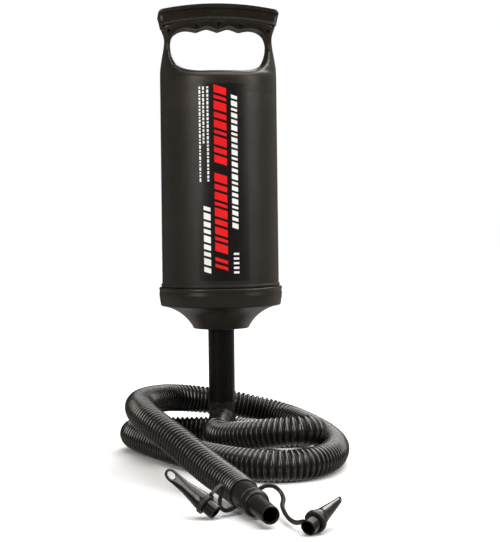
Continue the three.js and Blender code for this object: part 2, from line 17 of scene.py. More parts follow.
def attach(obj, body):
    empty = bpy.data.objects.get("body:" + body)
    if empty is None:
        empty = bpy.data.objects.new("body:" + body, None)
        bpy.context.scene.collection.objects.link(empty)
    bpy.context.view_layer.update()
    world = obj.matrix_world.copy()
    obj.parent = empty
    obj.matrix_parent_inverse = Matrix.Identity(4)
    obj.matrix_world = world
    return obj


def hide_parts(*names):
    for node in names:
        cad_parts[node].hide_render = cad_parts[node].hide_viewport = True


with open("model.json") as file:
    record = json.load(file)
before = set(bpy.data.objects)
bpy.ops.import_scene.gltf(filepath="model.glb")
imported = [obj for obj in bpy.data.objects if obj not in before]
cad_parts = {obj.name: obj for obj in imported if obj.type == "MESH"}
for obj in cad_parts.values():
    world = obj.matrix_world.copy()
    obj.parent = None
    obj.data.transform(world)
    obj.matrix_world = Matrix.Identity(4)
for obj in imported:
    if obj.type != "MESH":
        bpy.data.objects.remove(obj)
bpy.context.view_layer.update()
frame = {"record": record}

MM = 0.001
UP = np.array([0.0, 0.0, 1.0])

# ---------------------------------------------------------------- driving dimensions, millimetres

ROD_RADIUS = 13.6
ROD_BORE_RADIUS = 11.6
ROD_BOTTOM = 50.3
ROD_TOP = 288.0

BARREL_RADIUS = 60.5  # at the bead
BARREL_TOP_RADIUS = 60.1
BARREL_BORE_RADIUS = 58.0
BARREL_END = 157.4
BEAD_BOTTOM = 170.4
BEAD_TOP = 174.0
SHOULDER = 366.0  # the shell is turned below this height and sculpted above it
BARREL_SIDES = 160

SEAM_TOP = 443.2  # the middle of the arched seam between the handle and the grip cap
SEAM_RADIUS = 270.0
GRIP_TOP = 459.2
GRIP_TOP_RADIUS = 292.0

HOSE_RADIUS = 14.5
HOSE_RIB_PITCH = 5.0
HOSE_RIB_DEPTH = 2.4

NECK_ORIGIN = (0.0, 0.0, 35.9)
NECK_AXIS = (-0.2008, -0.9448, -0.2588)
CONNECTOR_AXIS = (0.223, -0.973, -0.056)
NOZZLE_SHOULDER = 13.5  # from a nozzle's mouth to the step that the tether's ring sits against
SPIGOT_RADIUS = 6.3
SPIGOT_BORE_RADIUS = 5.2
TETHER_RING_RADIUS = 9.0
TETHER_RING_WIDTH = 3.5

# ---------------------------------------------------------------- curves and profiles


def unit(vector):
    vector = np.asarray(vector, float)
    return vector / np.linalg.norm(vector)


def catmull_rom(points, per_span):
    """Points on the centripetal Catmull-Rom curve through the given points, of any dimension."""
    given = np.asarray(points, float)
    ends = [2 * given[0] - given[1]], [2 * given[-1] - given[-2]]
    knots = np.concatenate([ends[0], given, ends[1]])
    chords = np.sqrt(np.linalg.norm(np.diff(knots, axis=0), axis=1))
    t = np.linspace(0, 1, per_span, endpoint=False)[:, None]
    spans = []
    for i in range(1, len(knots) - 2):
        p0, p1, p2, p3 = knots[i - 1:i + 3]
        d0, d1, d2 = chords[i - 1:i + 2]
        out = ((p1 - p0) / d0 - (p2 - p0) / (d0 + d1) + (p2 - p1) / d1) * d1
        into = ((p2 - p1) / d1 - (p3 - p1) / (d1 + d2) + (p3 - p2) / d2) * d1
        spans.append(
            p1 + out * t + (3 * (p2 - p1) - 2 * out - into) * t**2 + (2 * (p1 - p2) + out + into) * t**3
        )
    return np.concatenate([*spans, given[-1:]])


def evenly_spaced(points, step, per_span=80):
    """Points on the smooth curve through the given ones, about a step apart."""
    dense = catmull_rom(points, per_span)
    run = np.concatenate([[0], np.cumsum(np.linalg.norm(np.diff(dense, axis=0), axis=1))])
    places = np.linspace(0, run[-1], max(2, round(run[-1] / step) + 1))
    return np.stack([np.interp(places, run, dense[:, k]) for k in range(dense.shape[1])], axis=1)


def filleted(corners, steps=5):
    """A profile from corners of (x, y, reach), each turned smoothly over its reach on both sides."""
    points = []
    for i, (x, y, reach) in enumerate(corners):
        corner = np.array([x, y])
        before = np.array(corners[i - 1][:2]) - corner
        after = np.array(corners[(i + 1) % len(corners)][:2]) - corner
        reach = min(reach, 0.48 * np.linalg.norm(before), 0.48 * np.linalg.norm(after))
        if reach < 1e-6:
            points.append(corner)
            continue
        start, end = corner + unit(before) * reach, corner + unit(after) * reach
        for t in np.linspace(0, 1, steps):
            points.append(start * (1 - t) ** 2 + corner * 2 * t * (1 - t) + end * t**2)
    return np.array(points)


# ---------------------------------------------------------------- meshes


def lathe(profile, sides=96):
    """A profile of (radius, height) turned about Z; it closes on itself, or runs from axis to axis."""
    profile = np.asarray(profile, float)
    on_axis = profile[0][0] < 1e-6
    turned = profile[1:-1] if on_axis else profile
    angles = np.linspace(0, 2 * math.pi, sides, endpoint=False)
    circle = np.stack([np.cos(angles), np.sin(angles)], axis=1)
    rings = [np.column_stack([radius * circle, np.full(sides, height)]) for radius, height in turned]
    points = np.concatenate(rings)
    around = np.arange(sides)
    onward = (around + 1) % sides
    faces = []
    last = len(turned) - 1
    for k in range(last if on_axis else last + 1):
        low, high = k * sides, ((k + 1) % len(turned)) * sides
        faces += np.stack([low + around, low + onward, high + onward, high + around], axis=1).tolist()
    if on_axis:
        bottom, top = len(points), len(points) + 1
        points = np.concatenate([points, [[0, 0, profile[0][1]], [0, 0, profile[-1][1]]]])
        steps = list(zip(around.tolist(), onward.tolist()))
        faces += [[bottom, b, a] for a, b in steps]
        faces += [[top, last * sides + a, last * sides + b] for a, b in steps]
    return points, faces


def frames_along(centres):
    """Side and up directions along a line, carried on from point to point without twist."""
    tangents = np.gradient(centres, axis=0)
    tangents /= np.linalg.norm(tangents, axis=1)[:, None]
    side = np.cross(tangents[0], UP if abs(tangents[0][2]) < 0.9 else [1, 0, 0])
    sides = []
    for tangent in tangents:
        side = unit(side - tangent * side.dot(tangent))
        sides.append(side)
    return np.array(sides), np.cross(np.array(sides), tangents)


def sweep(centres, sections):
    """Sections of (side, up) offsets carried along the centres, with flat ends."""
    side, up = frames_along(centres)
    sections = np.asarray(sections, float)
    rings = centres[:, None] + sections[..., :1] * side[:, None] + sections[..., 1:] * up[:, None]
    count = sections.shape[1]
    around = np.arange(count)
    onward = (around + 1) % count
    faces = []
    for k in range(len(centres) - 1):
        low, high = k * count, (k + 1) * count
        faces += np.stack([low + around, high + around, high + onward, low + onward], axis=1).tolist()
    faces.append(around.tolist())
    faces.append((len(centres) * count - 1 - around).tolist())
    return rings.reshape(-1, 3), faces


def circle_sections(radii, sides):
    """Round sections for a sweep, one for each radius."""
    angles = np.linspace(0, 2 * math.pi, sides, endpoint=False)
    circle = np.stack([np.cos(angles), np.sin(angles)], axis=1)
    return np.asarray(radii)[:, None, None] * circle[None]


def placed(mesh, origin, axis, facing=(0, -1, 0)):
    """A mesh made about +Z, moved to the origin point along the axis, its -Y side turned to facing."""
    z = unit(axis)
    x = unit(np.cross(-np.asarray(facing, float), z))
    y = np.cross(z, x)
    points, faces = mesh
    return points @ np.stack([x, y, z]) + np.asarray(origin, float), faces


def joined(*meshes):
    """Several meshes as one, each still a closed body of its own."""
    points, faces, start = [], [], 0
    for mesh_points, mesh_faces in meshes:
        points.append(mesh_points)
        faces += [[start + i for i in face] for face in mesh_faces]
        start += len(mesh_points)
    return np.concatenate(points), faces


def area_normals(points, faces):
    """Point normals that follow the large faces, so that flat stretches stay flat beside a fillet."""
    normals = np.zeros_like(points)
    for count in sorted({len(face) for face in faces}):
        group = np.array([face for face in faces if len(face) == count])
        corners = points[group]
        across = corners[:, count // 2] - corners[:, 0]
        other = corners[:, -1] - corners[:, 1] if count > 3 else corners[:, 2] - corners[:, 0]
        if count == 3:
            across = corners[:, 1] - corners[:, 0]
        normal = np.cross(across, other)
        for k in range(count):
            np.add.at(normals, group[:, k], normal)
    lengths = np.linalg.norm(normals, axis=1)
    return normals / np.maximum(lengths, 1e-12)[:, None]


def add_piece(name, mesh, material, body, node, normals=None):
    """An object from a mesh in millimetres, riding on a body and standing for its CAD node."""
    points, faces = mesh
    data = bpy.data.meshes.new(name)
    data.from_pydata((points * MM).tolist(), [], faces)
    data.shade_smooth()
    data.normals_split_custom_set_from_vertices(
        (area_normals(points, faces) if normals is None else normals).tolist()
    )
    data.materials.append(material)
    piece = bpy.data.objects.new(name, data)
    bpy.context.scene.collection.objects.link(piece)
    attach(piece, body)
    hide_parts(node)
    return piece


slot_of = {row["node"]: row["material_slot"] for row in frame["record"]["subparts"]}

# ---------------------------------------------------------------- implicit shapes


def round_max(a, b, radius):
    """Where both shapes hold, with the edge between them rounded."""
    inner = np.minimum(np.maximum(a, b), -radius)
    return inner + np.hypot(np.maximum(a + radius, 0), np.maximum(b + radius, 0))


def round_min(a, b, radius):
    """Either shape, with a fillet between them."""
    return -round_max(-a, -b, radius)


def outline_distance(x, z, outline):
    """Distance to a closed outline in the XZ plane, negative inside it."""
    nearest, side = np.full(np.broadcast(x, z).shape, 1e9), 1.0
    for (x0, z0), (x1, z1) in zip(outline, np.roll(outline, -1, axis=0)):
        along_x, along_z = x1 - x0, z1 - z0
        from_x, from_z = x - x0, z - z0
        t = np.clip((from_x * along_x + from_z * along_z) / (along_x**2 + along_z**2), 0, 1)
        nearest = np.minimum(nearest, (from_x - along_x * t) ** 2 + (from_z - along_z * t) ** 2)
        above, below, left = z >= z0, z < z1, along_x * from_z > along_z * from_x
        crossed = (above & below & left) | (~above & ~below & ~left)
        side = np.where(crossed, -side, side)
    return side * np.sqrt(nearest)


def oval_distance(x, y, z, levels):
    """Distance to a column with oval sections, given as (height, half width, half depth, squareness)."""
    table = catmull_rom(levels, 24)
    a, b, n = (np.interp(z, table[:, 0], table[:, k]) for k in (1, 2, 3))
    slope_a, slope_b = (
        np.interp(z, table[:, 0], np.gradient(table[:, k], table[:, 0])) for k in (1, 2)
    )
    ratio_x, ratio_y = np.maximum(np.abs(x), 1e-3) / a, np.maximum(np.abs(y), 1e-3) / b
    g = (ratio_x**n + ratio_y**n) ** (1 / n)
    gx = (ratio_x / g) ** (n - 1) / a
    gy = (ratio_y / g) ** (n - 1) / b
    gz = (ratio_x / g) ** (n - 1) * ratio_x * slope_a / a + (ratio_y / g) ** (n - 1) * ratio_y * slope_b / b
    return (g - 1) / np.sqrt(gx**2 + gy**2 + gz**2)


def polygonised(shape, low, high, step):
    """The mesh of an implicit shape inside a box, its points moved onto the shape, and their normals."""
    axes = [np.arange(a, b + step, step) for a, b in zip(low, high)]
    x, y, z = np.meshgrid(*axes, indexing="ij", sparse=True)
    field = np.broadcast_to(shape(x, y, z), [len(axis) for axis in axes])
    grid = openvdb.FloatGrid(background=3.0)
    grid.copyFromArray(np.ascontiguousarray(np.clip(field / step, -3, 3), dtype=np.float32))
    points, quads = grid.convertToQuads(isovalue=0.0)
    points = np.asarray(points, float) * step + np.array(low)

    def slopes(p):
        reach = 0.04
        return np.stack([
            shape(*(p + reach * direction).T) - shape(*(p - reach * direction).T)
            for direction in np.eye(3)
        ], axis=1) / (2 * reach)

    for _ in range(3):
        slope = slopes(points)
        size = np.maximum((slope**2).sum(axis=1), 0.05)
        move = slope * (shape(*points.T) / size)[:, None]
        reach = np.maximum(np.linalg.norm(move, axis=1) / (0.7 * step), 1)
        points = points - move / reach[:, None]
    slope = slopes(points)
    normals = slope / np.maximum(np.linalg.norm(slope, axis=1), 1e-9)[:, None]
    quads = np.asarray(quads)
    first = points[quads]
    facing = np.cross(first[:, 2] - first[:, 0], first[:, 3] - first[:, 1])
    if (facing * normals[quads[:, 0]]).sum(axis=1).mean() < 0:
        quads = quads[:, ::-1]
    return points, quads.tolist(), normals


# ---------------------------------------------------------------- materials


def moulded_plastic(name, colour, roughness, grain=0.25, grain_size=1.1, specular=0.35, polish=None):
    """Moulded plastic: a fine surface grain, with slow changes of gloss and shade.

    polish is (low, high, change): the roughness changes by that much from the lower height to the upper.
    """
    material = bpy.data.materials.new(name)
    material.use_nodes = True
    nodes, links = material.node_tree.nodes, material.node_tree.links
    shader = nodes["Principled BSDF"]
    shader.inputs["Specular IOR Level"].default_value = specular
    place = nodes.new("ShaderNodeTexCoord").outputs["Object"]

    def noise(size, detail):
        texture = nodes.new("ShaderNodeTexNoise")
        texture.inputs["Scale"].default_value = 1 / (size * MM)
        texture.inputs["Detail"].default_value = detail
        links.new(place, texture.inputs["Vector"])
        return texture.outputs["Fac"]

    def between(factor, low, high, start=0.3, end=0.7):
        spread = nodes.new("ShaderNodeMapRange")
        spread.inputs["From Min"].default_value = start
        spread.inputs["From Max"].default_value = end
        spread.inputs["To Min"].default_value = low
        spread.inputs["To Max"].default_value = high
        links.new(factor, spread.inputs["Value"])
        return spread.outputs["Result"]

    cloud = noise(38, 3)
    shade = nodes.new("ShaderNodeMix")
    shade.data_type = "RGBA"
    shade.inputs[6].default_value = (*[0.86 * c for c in colour], 1)
    shade.inputs[7].default_value = (*[1.14 * c for c in colour], 1)
    links.new(between(cloud, 0, 1), shade.inputs[0])
    links.new(shade.outputs[2], shader.inputs["Base Color"])
    gloss = between(noise(9, 4), roughness - 0.04, roughness + 0.05)
    if polish:
        low, high, change = polish
        split = nodes.new("ShaderNodeSeparateXYZ")
        links.new(place, split.inputs["Vector"])
        total = nodes.new("ShaderNodeMath")
        links.new(gloss, total.inputs[0])
        links.new(between(split.outputs["Z"], 0, change, low * MM, high * MM), total.inputs[1])
        gloss = total.outputs["Value"]
    links.new(gloss, shader.inputs["Roughness"])
    if grain:
        bump = nodes.new("ShaderNodeBump")
        bump.inputs["Strength"].default_value = grain
        bump.inputs["Distance"].default_value = 0.12 * MM
        links.new(noise(grain_size, 2), bump.inputs["Height"])
        links.new(bump.outputs["Normal"], shader.inputs["Normal"])
    return material


def brushed_metal(name, colour, roughness):
    """Metal with the same slow changes of gloss and a very fine grain."""
    material = moulded_plastic(name, colour, roughness, grain=0.1, grain_size=0.4)
    material.node_tree.nodes["Principled BSDF"].inputs["Metallic"].default_value = 1
    return material


BLACK = (0.0175, 0.0142, 0.0113)

barrel_plastic = moulded_plastic("barrel_plastic", BLACK, 0.42, polish=(376, 410, -0.22))
grip_plastic = moulded_plastic("grip_plastic", BLACK, 0.3)
collar_plastic = moulded_plastic("collar_plastic", BLACK, 0.32, grain=0.08)
rod_plastic = moulded_plastic("rod_plastic", (0.0075, 0.0068, 0.0062), 0.24, grain=0.04)
hose_plastic = moulded_plastic("hose_plastic", (0.019, 0.0162, 0.0135), 0.25, grain=0.02, specular=0.95)
# painted shade: a near-black, duller copy of the hose's plastic for the faces deep in the rib grooves
hose_groove_painted_shade = moulded_plastic("hose_groove_painted_shade", (0.006, 0.005, 0.004), 0.45, grain=0.02, specular=0.3)
connector_plastic = moulded_plastic("connector_plastic", (0.0095, 0.0087, 0.008), 0.36, grain=0.1)
nozzle_plastic = moulded_plastic("nozzle_plastic", (0.008, 0.0074, 0.007), 0.2, grain=0.03, specular=0.5)
tether_plastic = moulded_plastic("tether_plastic", (0.024, 0.021, 0.017), 0.38, grain=0.1)
label_film = moulded_plastic("label_film", (0.008, 0.007, 0.0065), 0.34, grain=0.04)
print_red = moulded_plastic("print_red", (0.72, 0.006, 0.008), 0.36, grain=0.03)
print_white = moulded_plastic("print_white", (0.8, 0.8, 0.79), 0.36, grain=0.03)
seal_rubber = moulded_plastic("seal_rubber", (0.012, 0.012, 0.012), 0.6, grain=0.3, grain_size=0.6)
inner_plastic = moulded_plastic("inner_plastic", (0.68, 0.66, 0.6), 0.4, grain=0.1)
steel = brushed_metal("steel", (0.55, 0.55, 0.53), 0.35)

# ---------------------------------------------------------------- camera

CAMERA_DISTANCE = 1352.0  # from the pump's axis, along the floor
CAMERA_AZIMUTH = math.radians(-4.3)
CAMERA_HEIGHT = 236.5
CAMERA_YAW = math.radians(5.6)  # the heading, turned from +Y toward +X
CAMERA_PITCH = math.radians(2.16)
CAMERA_ROLL = math.radians(0.65)
CAMERA_LENS = 86.35  # on a 36 mm sensor


def make_camera():
    ahead = np.array([
        math.sin(CAMERA_YAW) * math.cos(CAMERA_PITCH),
        math.cos(CAMERA_YAW) * math.cos(CAMERA_PITCH),
        -math.sin(CAMERA_PITCH),
    ])
    level = unit(np.cross(ahead, UP))
    above = np.cross(level, ahead)
    right = level * math.cos(CAMERA_ROLL) - above * math.sin(CAMERA_ROLL)
    top = level * math.sin(CAMERA_ROLL) + above * math.cos(CAMERA_ROLL)
    place = CAMERA_DISTANCE * np.array([math.sin(CAMERA_AZIMUTH), -math.cos(CAMERA_AZIMUTH), 0])
    place[2] = CAMERA_HEIGHT
    data = bpy.data.cameras.new("camera")
    data.lens = CAMERA_LENS
    data.sensor_width = 36
    camera = bpy.data.objects.new("camera", data)
    turn = Matrix(np.stack([right, top, -ahead], axis=1).tolist()).to_4x4()
    camera.matrix_world = Matrix.Translation(Vector(place * MM)) @ turn
    bpy.context.scene.collection.objects.link(camera)
    bpy.context.scene.camera = camera


make_camera()

# ---------------------------------------------------------------- hose

HOSE_ROUTE = [
    (-7.7, -36.2, 26), (-9.4, -44.2, 24), (-9, -57, 23.4), (-3, -75, 25), (12, -96, 29),
    (34, -115, 33.5), (55, -123.5, 36.2), (67, -123, 36.8), (75.5, -116.5, 36.1), (79.2, -104, 33.9),
    (78, -86, 30), (68, -50, 22), (52, -18, 16.8), (35, 6, 15), (12, 27, 14.5),
    (-20, 34.5, 14.5), (-60, 37, 15), (-78, 32.5, 16), (-89.5, 19, 17), (-92, 3, 17.5),
    (-86.5, -14, 16.5), (-63, -61, 14.5), (-45, -95, 14.5), (-17, -138, 14.5), (12, -168, 14.5),
    (37, -181, 14.5), (64, -174.5, 14.5), (88, -146, 14.5), (102, -100, 14.5), (104.9, -62, 14.9),
    (101, -38, 17.5), (94.4, -12, 19.6), (86.1, 12, 22), (75.9, 32, 24.7), (61.3, 46, 28.4),
    (36.8, 54, 34.4), (1, 52, 42.1), (-30, 45, 47.3), (-52.3, 30, 50.8), (-68, 8, 52.9),
    (-80.2, -20, 54.3), (-86.4, -52, 54.8), (-85.7, -84, 54), (-79.5, -114, 50.4), (-67.4, -146, 44.5),
    (-53.5, -175, 37.2), (-39.7, -204, 29), (-27.6, -232, 22.4), (-15.9, -262, 17.8), (-10.2, -279, 16),
    (-6.9, -293, 15), (-5.5, -299.1, 14.6),
]
RINGS_PER_RIB = 8
HOSE_SIDES = 32


def make_hose():
    """Ribs along the route, with painted shade in their grooves: the groove faces take a near-black second
    material; the last 14 ribs narrow a little toward the connector.
    """
    centres = evenly_spaced(HOSE_ROUTE, HOSE_RIB_PITCH / RINGS_PER_RIB)
    count = len(centres)
    phase = np.arange(count) / RINGS_PER_RIB
    crest = (0.5 - 0.5 * np.cos(2 * math.pi * phase)) ** 0.8
    end_taper = np.interp(np.arange(count), [count - 1 - 14 * RINGS_PER_RIB, count - 1], [0, 1.4])
    radii = HOSE_RADIUS - HOSE_RIB_DEPTH * (1 - crest) - end_taper
    tube = sweep(centres, circle_sections(radii, HOSE_SIDES))
    hose = add_piece("hose", tube, hose_plastic, "stand", "hose")
    hose.data.materials.append(hose_groove_painted_shade)
    # the faces deep in each groove take the second material, which paints the groove's shade
    low = np.minimum(crest[:-1], crest[1:]) < 0.3
    kinds = np.append(np.repeat(low, HOSE_SIDES), [False, False])  # then the two flat ends
    hose.data.polygons.foreach_set("material_index", kinds.astype(np.int32))
    length = np.linalg.norm(np.diff(centres, axis=0), axis=1).sum() * MM
    return hose, centres, length


hose, hose_centres, hose_length = make_hose()

# ---------------------------------------------------------------- hose cuff and connector


def along_neck(distance):
    """A point on the neck's axis, that far from the rod's."""
    return np.array(NECK_ORIGIN) + distance * unit(NECK_AXIS)


def make_hose_cuff():
    profile = filleted([
        (10.4, 0, 0.2), (12.2, 0, 0.8), (12.2, 3.5, 0.3), (12.7, 4, 0.3), (12.7, 6, 0.3),
        (12.2, 6.5, 0.3), (12.2, 19.2, 0.5), (10.4, 19.2, 0.2),
    ])
    cuff = placed(lathe(profile, 64), along_neck(18.8), NECK_AXIS)
    add_piece("hose_cuff", cuff, connector_plastic, "stand", "hose_cuff")


def make_connector():
    """A cuff on the hose's end with a groove round it, then a long tapered spigot."""
    profile = filleted([
        (5.8, 0.4, 0.2), (11.3, 0.4, 0.8), (11.3, 23, 1.4), (10.4, 24, 0.6), (10.4, 25, 0.5),
        (11.3, 26, 0.9), (11.3, 31.6, 1.6), (9.9, 34, 1.2), (8.1, 34.4, 0.8), (7.5, 65, 0.7),
        (7.1, 66, 0.5), (6.3, 66, 0.5), (5.8, 64.8, 0.5),
    ])
    connector = placed(lathe(profile, 80), HOSE_ROUTE[-1], CONNECTOR_AXIS)
    return add_piece("hose_connector", connector, connector_plastic, "stand", "hose_connector")


make_hose_cuff()
connector = make_connector()

# ---------------------------------------------------------------- nozzles and tethers

SMALL_MOUTH, SMALL_AXIS = (34.2, -388.3, 6.3), (0.628, 0.733, 0.263)
LARGE_MOUTH, LARGE_AXIS = (-30.4, -322.6, 5.4), (-0.7, 0.455, 0.548)
TIP_SLANT = 2.6  # how much farther the small nozzle's tip reaches on one side, per unit of its width
NOZZLE_SIDES = 56

SMALL_TETHER_ROUTE = [
    (6.8, -303.6, 19.4), (12.4, -302.8, 21.6), (18.6, -303, 21), (23.3, -305, 17.4), (25.4, -310, 12.8),
    (23.5, -319, 8.7), (23.5, -332, 6.3), (25, -350, 4.9), (28, -366, 5.5), (32.4, -377, 8.6),
]
LARGE_TETHER_ROUTE = [
    (-13.9, -308, 6.6), (-19, -311, 4.6), (-22.5, -313.5, 4.9), (-25.6, -313.5, 7.5), (-26.2, -311.5, 11.3),
    (-25, -309, 17.6), (-23.6, -308.4, 21.6), (-25, -310, 24.2), (-29.4, -315, 22.8), (-34.2, -320, 19.2),
]


def make_small_nozzle():
    """A spigot, a shoulder and a cone with its tip cut on the slant, bored through."""
    points, faces = lathe(filleted([
        (SPIGOT_BORE_RADIUS, 0, 0.3), (SPIGOT_RADIUS, 0, 0.5), (SPIGOT_RADIUS, NOZZLE_SHOULDER, 0.3),
        (7.4, NOZZLE_SHOULDER, 0.6), (7.35, 16.5, 1.2), (6, 21.5, 2.2), (4.7, 31, 3), (2.3, 49.4, 0.5),
        (2.0, 50, 0.3), (1.4, 50, 0.2), (1.5, 46, 1), (1.7, 28, 2), (SPIGOT_BORE_RADIUS, 13, 2),
    ]), NOZZLE_SIDES)
    tip = np.clip((points[:, 2] - 44) / 8, 0, 1)
    points[:, 2] += TIP_SLANT * tip * points[:, 1]
    nozzle = placed((points, faces), SMALL_MOUTH, SMALL_AXIS)
    return add_piece("nozzle_small", nozzle, nozzle_plastic, "stand", "nozzle_small")


# (distance from the mouth, half width, half thickness, squareness) of the body, which flattens to its loop
LARGE_NOZZLE_LEVELS = [
    (10, 7.6, 7.6, 2), (13.5, 7.6, 7.6, 2), (17, 7.4, 7.3, 2), (24, 6.2, 5.8, 2), (31, 5.3, 4.4, 2),
    (38, 4.95, 3, 2.1), (44, 4.9, 2.1, 2.4), (48.6, 4.9, 1.8, 2.6), (52, 4.1, 1.7, 2.6), (54, 2.7, 1.5, 2.4),
    (55, 0.6, 0.6, 2), (58, 0.3, 0.3, 2),
]


def large_nozzle_body(x, y, z):
    """The large nozzle above its spigot, with the loop's hole near its flat end."""
    ends = np.maximum(NOZZLE_SHOULDER - z, z - 55)
    body = np.maximum(oval_distance(x, y, z, LARGE_NOZZLE_LEVELS), ends)
    hole = (np.hypot(x / 2.6, (z - 48.6) / 4.4) - 1) * 2.6
    return round_max(body, -hole, 0.8)


def make_large_nozzle():
    spigot = lathe(filleted([
        (0, 12, 0), (SPIGOT_BORE_RADIUS, 12, 0.3), (SPIGOT_BORE_RADIUS, 0, 0.3), (SPIGOT_RADIUS, 0, 0.5),
        (SPIGOT_RADIUS, NOZZLE_SHOULDER, 0.3), (7.5, NOZZLE_SHOULDER, 0.5), (7.5, 15.2, 0.3), (0, 15.2, 0),
    ]), NOZZLE_SIDES)
    body, body_faces, _ = polygonised(large_nozzle_body, (-9, -9, 12), (9, 9, 57), 0.4)
    nozzle = placed(joined(spigot, (body, body_faces)), LARGE_MOUTH, LARGE_AXIS)
    return add_piece("nozzle_large", nozzle, nozzle_plastic, "stand", "nozzle_large")


def make_tether(name, route, mouth, axis):
    """A flat strap along its route, and the ring that it ends in, round a nozzle's spigot."""
    line = evenly_spaced(route, 0.8)
    flat = filleted([(-1.5, -1.6, 0.6), (1.5, -1.6, 0.6), (1.5, 1.6, 0.6), (-1.5, 1.6, 0.6)], 3)
    strap = sweep(line, np.repeat(flat[None], len(line), axis=0))
    top = NOZZLE_SHOULDER - 0.3
    bottom = top - TETHER_RING_WIDTH
    hole = SPIGOT_RADIUS + 0.4
    ring = lathe(filleted([
        (hole, bottom, 0.3), (TETHER_RING_RADIUS, bottom, 0.6), (TETHER_RING_RADIUS, top, 0.6),
        (hole, top, 0.3),
    ]), NOZZLE_SIDES)
    tether = joined(strap, placed(ring, mouth, axis))
    return add_piece(name, tether, tether_plastic, "stand", name)


nozzles = [make_small_nozzle(), make_large_nozzle()]
tethers = [
    make_tether("tether_small", SMALL_TETHER_ROUTE, SMALL_MOUTH, SMALL_AXIS),
    make_tether("tether_large", LARGE_TETHER_ROUTE, LARGE_MOUTH, LARGE_AXIS),
]

# ---------------------------------------------------------------- foot and rod


def make_foot():
    """The flanged foot with a spigot for the rod, and the angled neck that the hose leaves by."""
    column = lathe(filleted([
        (0, 0, 0), (19.5, 0, 0.6), (19.5, 4, 1), (16, 6.5, 2), (14, 12, 3), (14, 33, 1), (ROD_RADIUS, 36, 1),
        (ROD_RADIUS, 50, 0.3), (11.2, 50, 0.3), (11.2, 66, 0.3), (8, 66, 0.3), (8, 30, 1), (0, 30, 0),
    ]), 80)
    neck = lathe(filleted([
        (8, 2, 0.3), (12.6, 2, 0.5), (12.6, 15, 0.3), (12.6, 18.4, 0.6), (10, 18.4, 0.3), (10, 28, 0.4),
        (8, 28, 0.3),
    ]), 64)
    foot = joined(column, placed(neck, NECK_ORIGIN, NECK_AXIS))
    add_piece("foot_elbow", foot, collar_plastic, "stand", "foot_elbow")


def make_rod():
    profile = filleted([
        (ROD_BORE_RADIUS, ROD_BOTTOM, 0.3), (ROD_RADIUS, ROD_BOTTOM, 0.3), (ROD_RADIUS, ROD_TOP, 0.4),
        (ROD_BORE_RADIUS, ROD_TOP, 0.4),
    ])
    add_piece("rod_tube", lathe(profile, 96), rod_plastic, "stand", "rod_tube")


make_foot()
make_rod()

# ---------------------------------------------------------------- barrel shell

# (height, half width, half depth, squareness) of the shell's outside
SHELL_LEVELS = [
    (340, 60.15, 60.15, 2), (366, 60.1, 60.1, 2), (374, 60.1, 60.0, 2), (381, 60.1, 59.3, 2),
    (386, 60.1, 56.8, 2), (390, 60.0, 52, 2), (394, 59.8, 46, 2.1), (399, 59.1, 38, 2.3),
    (407, 57.8, 29, 2.6), (415.4, 56.2, 22.5, 3.2), (423.7, 55.3, 19.7, 4.5), (429, 56, 19.2, 5.4),
    (434.5, 57.9, 19.2, 6), (440, 59.6, 19.4, 6), (446, 61.2, 19.8, 6), (452, 62, 20, 6),
]
BULKHEAD_BOTTOM = 384.0
BORE_LEVELS = [
    (340, BARREL_BORE_RADIUS, BARREL_BORE_RADIUS, 2), (366, BARREL_BORE_RADIUS, BARREL_BORE_RADIUS, 2),
    (378, 57.9, 57.4, 2), (BULKHEAD_BOTTOM, 56.8, 54.5, 2),
]
INTAKE_HOLE_RADIUS = 4.0

# Right half of the finger opening, from its floor round to the middle lobe
OPENING_HALF = [
    (0, 388.7), (12, 388.7), (24, 389), (36, 392), (43, 397.5), (47.5, 405), (49.4, 415), (49, 422),
    (46.5, 429), (41, 433.2), (34, 435), (27, 434.3), (22, 433.4), (16.5, 435.3), (11, 436.7),
    (5.5, 435.3), (0, 433.4),
]
# (x, height, half length) of each pin
GRIP_PINS = [(-50.6, 431.6, 16), (-22.4, 436.8, 18), (0, 438.2, 18), (22.4, 436.8, 18), (50.6, 431.6, 16)]
GRIP_PIN_RADIUS = 1.2
GRIP_PIN_RECESS = 4.5  # of each end, behind the handle's faces


def seam_height(x):
    return SEAM_TOP - SEAM_RADIUS + np.sqrt(SEAM_RADIUS**2 - np.clip(x, -100, 100) ** 2)


def grip_top_height(x):
    return GRIP_TOP - GRIP_TOP_RADIUS + np.sqrt(GRIP_TOP_RADIUS**2 - np.clip(x, -100, 100) ** 2)


def opening_outline():
    """The closed outline of the finger opening, its two halves alike."""
    half = catmull_rom(OPENING_HALF, 5)
    return np.concatenate([half, half[-2:0:-1] * [-1, 1]])


OPENING = opening_outline()


def intake_holes():
    """The places of the six air holes in the barrel's top, in a ring."""
    angles = (np.arange(6) + 0.5) * math.pi / 3
    return np.stack([18 * np.cos(angles), 18 * np.sin(angles)], axis=1)


def shell_top(x, y, z):
    """The shell above the shoulder, with the finger opening, intake holes and pin holes."""
    opening = outline_distance(x, z, OPENING)
    fillet = np.interp(z, [388, 405, 424, 433], [6.5, 6, 6.5, 8.5])
    body = round_max(oval_distance(x, y, z, SHELL_LEVELS), -opening, fillet)
    body = round_max(body, z - seam_height(x), 1.4)
    bore = np.maximum(oval_distance(x, y, z, BORE_LEVELS), z - BULKHEAD_BOTTOM)
    body = np.maximum(body, -bore)
    for hole_x, hole_y in intake_holes():
        hole = np.maximum(np.hypot(x - hole_x, y - hole_y) - INTAKE_HOLE_RADIUS, z - 400)
        body = round_max(body, -hole, 0.6)
    for pin_x, pin_z, _ in GRIP_PINS:
        hole = np.hypot(x - pin_x, z - pin_z) - GRIP_PIN_RADIUS - 0.35
        body = round_max(body, -hole, 0.3)
    return body


def wall_radius(z):
    """The barrel's outside, which tapers a little toward its top."""
    return np.interp(z, [BEAD_TOP, SHOULDER], [BARREL_RADIUS, BARREL_TOP_RADIUS])


